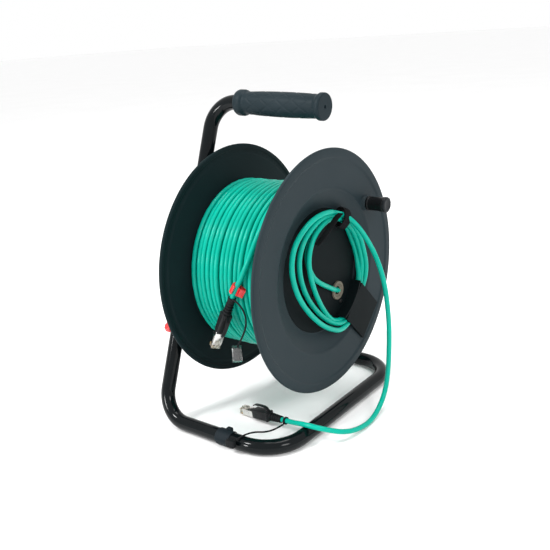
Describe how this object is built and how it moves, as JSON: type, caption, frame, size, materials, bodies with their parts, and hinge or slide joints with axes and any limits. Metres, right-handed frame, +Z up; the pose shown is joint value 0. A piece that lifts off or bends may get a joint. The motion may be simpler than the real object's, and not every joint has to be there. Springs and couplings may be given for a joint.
{
  "type": "cable drum",
  "caption": "Hand cable drum on a bent-tube stand with carrying grip, crank knob and brake screw, wound with a thin data cable that has a protected plug at each end.",
  "frame": {"origin": "centre of the footprint of everything but the cable and what is on it, on the floor", "axes": "+X from the stand's back to the crank side along the drum's turning axis, +Y to the right-hand leg, +Z up"},
  "size_m": [0.2573, 0.3144, 0.4204],
  "materials": {
    "tube_paint": "gloss black paint on steel tube",
    "plate_paint": "satin black paint on steel plate",
    "grip_rubber": "matte moulded grip",
    "clip_plastic": "fine-grained moulded plastic",
    "flange_plastic": "fine-grained dark grey moulding",
    "barrel_plastic": "plain black moulding",
    "steel_zinc": "zinc plated",
    "screw_black": "black plated screw",
    "bush_plastic": "natural bearing plastic",
    "brake_red": "red moulded knob",
    "pad_rubber": "brake pad rubber",
    "outlet_beige": "beige moulded ring",
    "knob_black": "gloss black moulding",
    "knob_cap_grey": "grey satin cap",
    "cable_green": "glossy turquoise green cable jacket",
    "strap_fabric": "black hook and loop strap",
    "relief_rubber": "ribbed cable boot",
    "plug_black": "black plug housing",
    "shell_metal": "nickel plated shell",
    "tip_clear": "clear plug nose",
    "guard_plastic": "springy latch guard",
    "clip_red": "red marking clip",
    "tether_rubber": "soft black tether",
    "cap_black": "black dust cap",
    "sleeve_clear": "thin clear sleeve"
  },
  "bodies": {
    "stand": {"frame_handle_tube": "tube_paint", "frame_base_tube": "tube_paint", "leg_clip_left": "clip_plastic", "leg_clip_right": "clip_plastic", "handle_grip": "grip_rubber", "tube_end_plug": "clip_plastic", "hub_plate": "plate_paint", "hub_plate_bolts": "steel_zinc", "hub_plate_nuts": "steel_zinc", "axle": "steel_zinc", "axle_nut": "steel_zinc", "rear_thrust_washer": "bush_plastic", "front_thrust_washer": "bush_plastic", "axle_circlip": "steel_zinc", "cable_hanging": "cable_green", "inner_plug_relief": "relief_rubber", "inner_plug_body": "plug_black", "inner_plug_shell": "shell_metal", "inner_plug_tip": "tip_clear", "inner_plug_guard": "guard_plastic", "inner_cap_tether": "tether_rubber", "inner_dust_cap": "cap_black"},
    "brake_screw": {"brake_knob": "brake_red", "brake_stud": "steel_zinc"},
    "brake_shoe": {"brake_pad": "pad_rubber"},
    "crank": {"crank_knob": "knob_black", "crank_knob_cap": "knob_cap_grey"},
    "drum": {"cable_coil_exit": "cable_green", "cable_outer_tail": "cable_green", "cable_outlet_lead": "cable_green", "cable_outlet_ring": "outlet_beige", "cable_recess_coil": "cable_green", "cable_winding": "cable_green", "coil_bridge": "flange_plastic", "coil_strap": "strap_fabric", "crank_pin": "steel_zinc", "drum_barrel": "barrel_plastic", "drum_screws": "steel_zinc", "front_bush": "bush_plastic", "front_flange": "flange_plastic", "outer_cap_sleeve": "sleeve_clear", "outer_cap_tether": "tether_rubber", "outer_dust_cap": "cap_black", "outer_plug_body": "plug_black", "outer_plug_guard": "guard_plastic", "outer_plug_relief": "relief_rubber", "outer_plug_shell": "shell_metal", "outer_plug_tip": "tip_clear", "rear_bush": "bush_plastic", "rear_flange": "flange_plastic", "recess_disc": "flange_plastic", "recess_disc_screw": "screw_black", "red_cable_clip": "clip_red"}
  },
  "joints": [
    {"name": "drum_spin", "type": "hinge", "parent": "stand", "child": "drum", "pos_m": [0.0071, 0, 0.195], "axis": [1, 0, 0], "continuous": true},
    {"name": "crank_spin", "type": "hinge", "parent": "drum", "child": "crank", "pos_m": [0.0961, 0.0943, 0.2637], "axis": [1, 0, 0], "continuous": true},
    {"name": "brake_turn", "type": "hinge", "parent": "stand", "child": "brake_screw", "pos_m": [-0.1089, -0.1017, 0.12], "axis": [1, 0, 0], "range_deg": [0, 180]},
    {"name": "brake_pad_slide", "type": "slide", "parent": "stand", "child": "brake_shoe", "axis": [1, 0, 0], "range_m": [0, 0.0026]}
  ],
  "couplings": [
    {"joint": "brake_turn", "follows": "brake_pad_slide", "rad_per_m": 1208}
  ]
}
